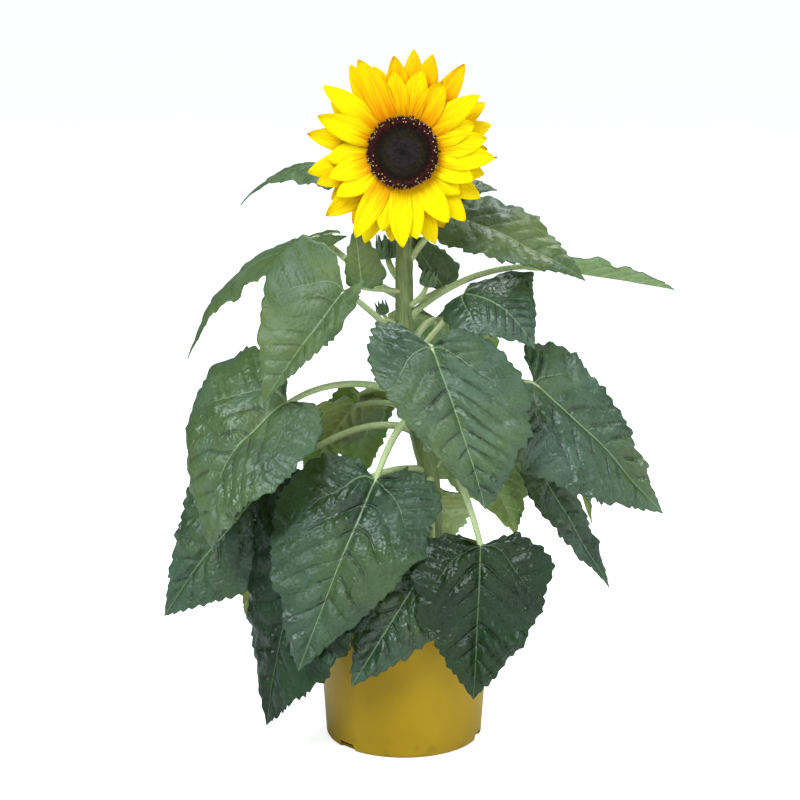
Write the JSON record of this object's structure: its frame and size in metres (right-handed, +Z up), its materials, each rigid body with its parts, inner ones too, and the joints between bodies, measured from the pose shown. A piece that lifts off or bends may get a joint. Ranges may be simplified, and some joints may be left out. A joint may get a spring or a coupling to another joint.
{
  "type": "potted dwarf sunflower plant",
  "caption": "Dwarf sunflower with one open yellow bloom, closed buds and big heart-shaped leaves, in a yellow plastic pot.",
  "frame": {"origin": "centre of the pot's flat underside, on the ground", "axes": "+Z up along the pot's axis; the bloom looks along -Y; +X to the right for someone who faces it"},
  "size_m": [0.3855, 0.2603, 0.5201],
  "materials": {
    "pot_plastic": "satin moulded plastic",
    "soil": "moist crumbly potting soil",
    "stem": "ribbed hairy green stalk",
    "leaf": "puckered leaf with a soft sheen",
    "bud_green": "hairy green bracts",
    "petal": "pleated silky petal",
    "seed_disc": "velvety florets"
  },
  "bodies": {
    "root": {"pot": "pot_plastic", "soil": "soil", "stem": "stem", "flower_calyx": "bud_green", "flower_disc": "seed_disc", "petals_back": "petal", "petals_front": "petal", "bud_left": "bud_green", "bud_right": "bud_green", "bud_low": "bud_green", "leaf_front_centre": "leaf", "leaf_front_left": "leaf", "leaf_front_right_low": "leaf", "leaf_front_low": "leaf", "leaf_left_mid": "leaf", "leaf_left_low": "leaf", "leaf_left_lowest": "leaf", "leaf_left_upper": "leaf", "leaf_left_high": "leaf", "leaf_left_small": "leaf", "leaf_right_small": "leaf", "leaf_right_fold": "leaf", "leaf_right_high": "leaf", "leaf_right_far": "leaf", "leaf_right_mid": "leaf", "leaf_right_low": "leaf", "leaf_back_right_mid": "leaf", "leaf_back_right_low": "leaf", "leaf_back_left_mid": "leaf", "leaf_back_mid": "leaf", "leaf_top_left": "leaf", "leaf_top_right": "leaf", "leaf_top_right_low": "leaf", "leaf_top_back": "leaf", "leaf_back_upper": "leaf", "leaf_back_low": "leaf", "leaf_back_left_low": "leaf"}
  },
  "joints": []
}
